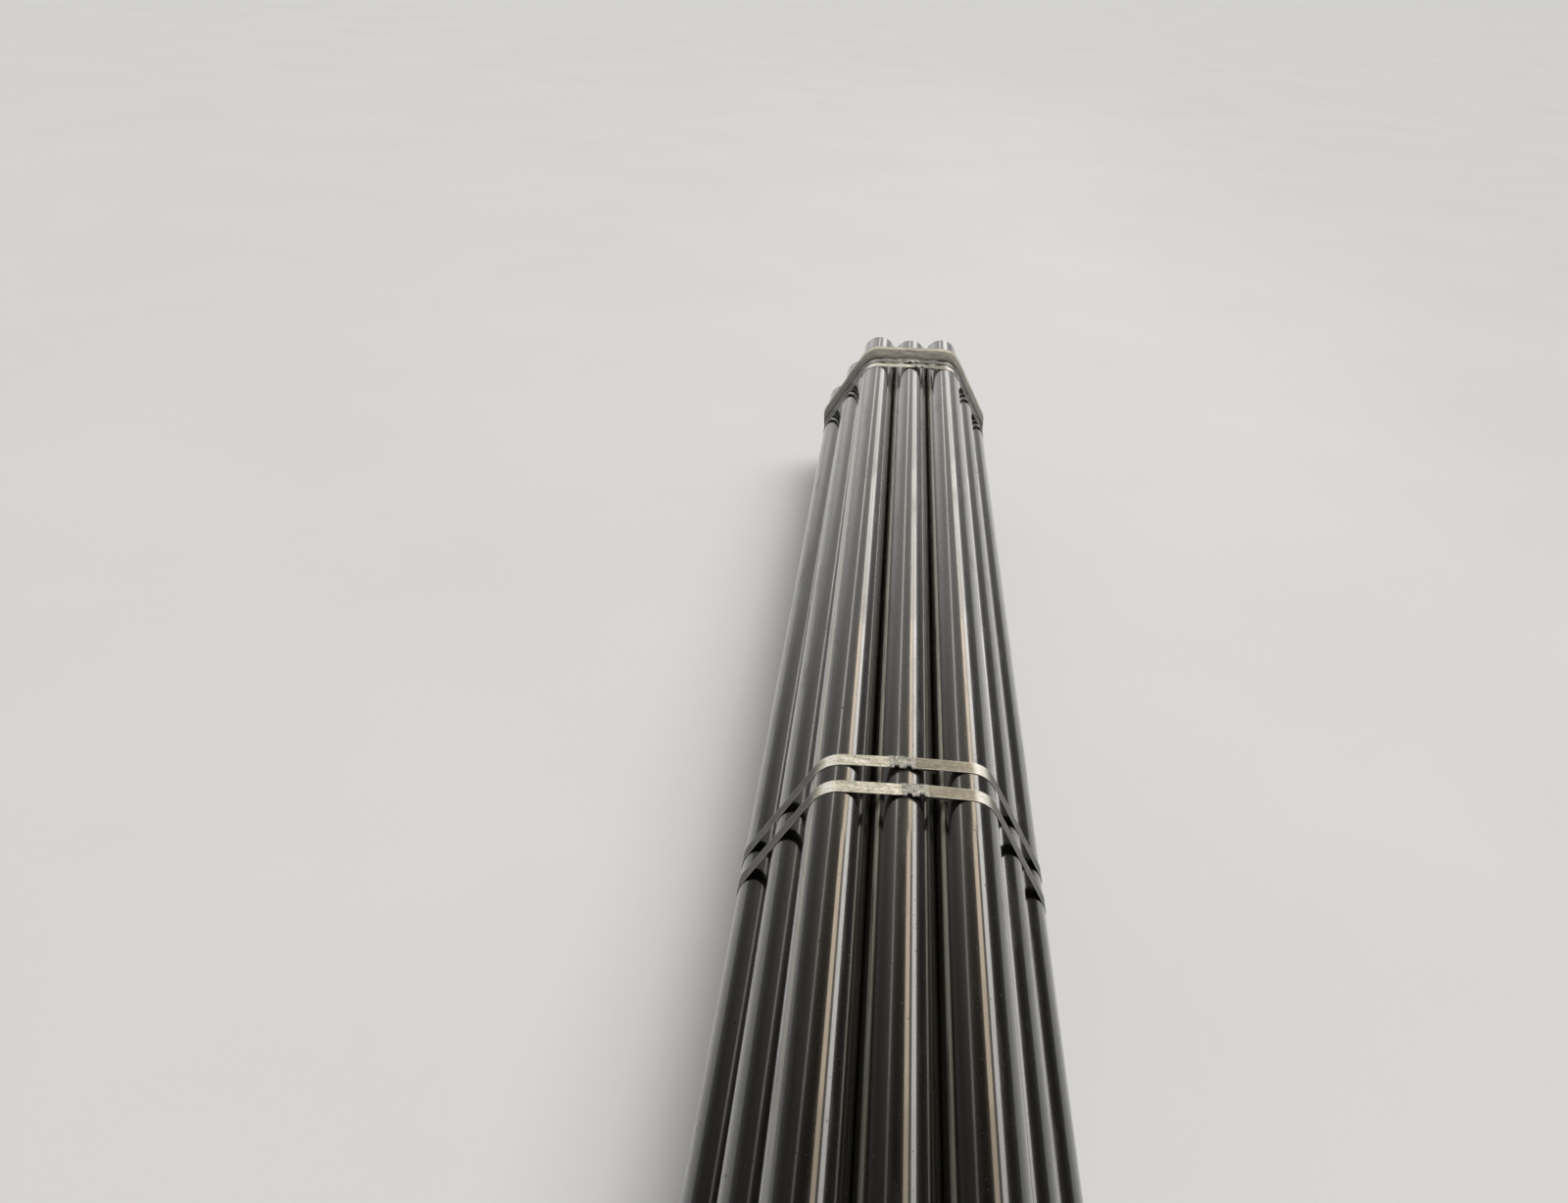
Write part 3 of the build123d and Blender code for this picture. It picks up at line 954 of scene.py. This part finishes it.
def make_bands():
    """Replace each plain sling with a ribbed woven band, its lap sewn on the lower left run."""
    webbing = band_webbing()
    seams = stitch_tree()
    thread = {
        "Stitch pitch": 0.0052,
        "Stitch length": 0.0040,
        "Thread radius": 0.0006,
        "Shortest": 0.85,
        "Longest": 1.12,
        "Seed": 7,
        "Thread": band_thread(),
    }
    first_low, first_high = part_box(PIPES[0])
    radius = (first_high.x - first_low.x) / 2
    pitch = 2 * radius + PIPE_CLEARANCE
    centre_z = BAND_THICKNESS + BAND_CLEARANCE + radius + 2 * pitch * sin(pi / 3)
    for name in BAND_SKEWS:
        band = Band(name, radius, 2 * pitch, centre_z)
        loop = band.layer("woven_" + name, round_hexagon, 0.0, True, webbing)
        lap = band.layer("lap_" + name, lapped_run, BAND_THICKNESS, False, webbing)
        stitches = grown("stitches_" + name, band.seam_lines(), seams, thread)
        for mesh in (loop, lap, stitches):
            piece = shown(mesh.name, mesh)
            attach(piece, "root")
            if mesh is loop:
                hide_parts(name)


def make_floor():
    """A plain pale floor."""
    mesh = bpy.data.meshes.new("floor")
    reach = FLOOR_REACH
    mesh.from_pydata(
        [(-reach, -reach, 0), (reach, -reach, 0), (reach, reach, 0), (-reach, reach, 0)],
        [],
        [(0, 1, 2, 3)],
    )
    finish = Finish("floor_matt", Roughness=0.8)
    cloud = finish.noise((1.2, 1.2, 1.2), 3.0)
    finish.feed("Base Color", finish.mix(cloud, FLOOR_DARK, FLOOR_LIGHT))
    mesh.materials.append(finish.material)
    shown("floor", mesh)


def make_sky():
    """A sky that is bright near the horizon and dies away overhead and to the sides.

    The camera sees a plain backdrop in its place, as pale as the floor, and so do reflections
    near the horizon.
    """
    world = bpy.data.worlds.new("soft_sky")
    world.use_nodes = True
    tree = world.node_tree
    direction = wire(tree, "ShaderNodeTexCoord").outputs["Generated"]
    parts = wire(tree, "ShaderNodeSeparateXYZ", sockets={0: direction}).outputs
    aside = reckoned(tree, "MULTIPLY_ADD", parts["X"], 0.5, 0.5)
    sideways = [(place, (share, share, share)) for place, share in SKY_SIDEWAYS]
    sky = wire(tree, "ShaderNodeValToRGB", {"stops": SKY_UPWARDS}, {"Fac": parts["Z"]})
    dimming = wire(tree, "ShaderNodeValToRGB", {"stops": sideways}, {"Fac": aside})
    dimmed = wire(
        tree,
        "ShaderNodeMix",
        {"data_type": "RGBA", "blend_type": "MULTIPLY"},
        {0: 1.0, 6: sky.outputs["Color"], 7: dimming.outputs["Color"]},
    )
    rays = wire(tree, "ShaderNodeLightPath").outputs
    mirrored = reckoned(tree, "ADD", rays["Is Glossy Ray"], rays["Is Transmission Ray"])
    low = reckoned(tree, "LESS_THAN", parts["Z"], BACKDROP_EDGE)
    shows = reckoned(tree, "MULTIPLY_ADD", mirrored, low, rays["Is Camera Ray"], clamped=True)
    seen = wire(
        tree,
        "ShaderNodeMix",
        {"data_type": "RGBA"},
        {0: shows, 6: dimmed.outputs[2], 7: (*BACKDROP, 1.0)},
    )
    tree.links.new(seen.outputs[2], tree.nodes["Background"].inputs["Color"])
    scene.world = world


def strip_lamp(name, leans, reach, width, colour, radiance):
    """A long lamp above the pipes, with a lean and a Y for its near end and its far end."""
    top = cad_box[1].z
    ends = []
    for lean, y in zip(leans, reach):
        turn = radians(lean)
        ends.append(Vector((LAMP_DISTANCE * sin(turn), y, top + LAMP_DISTANCE * cos(turn))))
    along = ends[1] - ends[0]
    middle = (ends[0] + ends[1]) / 2
    inwards = Vector((0.0, middle.y, top)) - middle
    across = along.cross(-inwards).normalized()
    facing = across.cross(along.normalized())
    lamp = bpy.data.lights.new(name, "AREA")
    lamp.shape = "RECTANGLE"
    lamp.size = LAMP_DISTANCE * radians(width)
    lamp.size_y = along.length
    lamp.color = colour
    lamp.energy = radiance * pi * lamp.size * lamp.size_y
    holder = bpy.data.objects.new(name, lamp)
    axes = Matrix((across, along.normalized(), facing)).transposed()
    holder.matrix_world = Matrix.Translation(middle) @ axes.to_4x4()
    holder.visible_camera = False
    holder.visible_diffuse = False
    scene.collection.objects.link(holder)


def make_lamps():
    """Strips that draw the long streaks on the pipes, and one soft lamp for the rest."""
    for number, span in enumerate(LAMP_SPANS, start=1):
        *reach, lean, tint, white, warm, dim = span
        leans = (WHITE_LEAN, WHITE_LEAN)
        strip_lamp(f"strip_white_{number}", leans, reach, WHITE_WIDTH, WHITE_LIGHT, white)
        strip_lamp(f"strip_warm_{number}", (lean, lean), reach, WARM_WIDTH, tint, warm)
        leans = [DIM_LEAN + DIM_LEAN_A_METRE * max(y, DIM_TURNS_FROM) for y in reach]
        strip_lamp(f"strip_dim_{number}", leans, reach, DIM_WIDTH, DIM_LIGHT, dim)
    soft = bpy.data.lights.new("soft_fill", "SUN")
    soft.energy = SOFT_STRENGTH
    soft.angle = radians(SOFT_SPREAD)
    holder = bpy.data.objects.new("soft_fill", soft)
    holder.rotation_euler = [radians(tilt) for tilt in SOFT_TILT]
    holder.visible_glossy = False
    scene.collection.objects.link(holder)


def make_camera():
    """Stand the camera at the photograph's place and angle."""
    data = bpy.data.cameras.new("view")
    data.sensor_fit = "HORIZONTAL"
    data.sensor_width = SENSOR
    data.lens = SENSOR * FOCAL_PIXELS / FRAME_PIXELS
    data.clip_start, data.clip_end = 0.05, 1000.0
    camera = bpy.data.objects.new("view", data)
    axes = Matrix((CAMERA_RIGHT, CAMERA_UP, -Vector(CAMERA_FORWARD))).transposed()
    camera.matrix_world = Matrix.Translation(CAMERA_PLACE) @ axes.to_4x4()
    scene.collection.objects.link(camera)
    scene.camera = camera


make_pipes()
dress_straps()
make_bands()
make_floor()
make_sky()
make_lamps()
make_camera()
scene.view_settings.view_transform = "Standard"
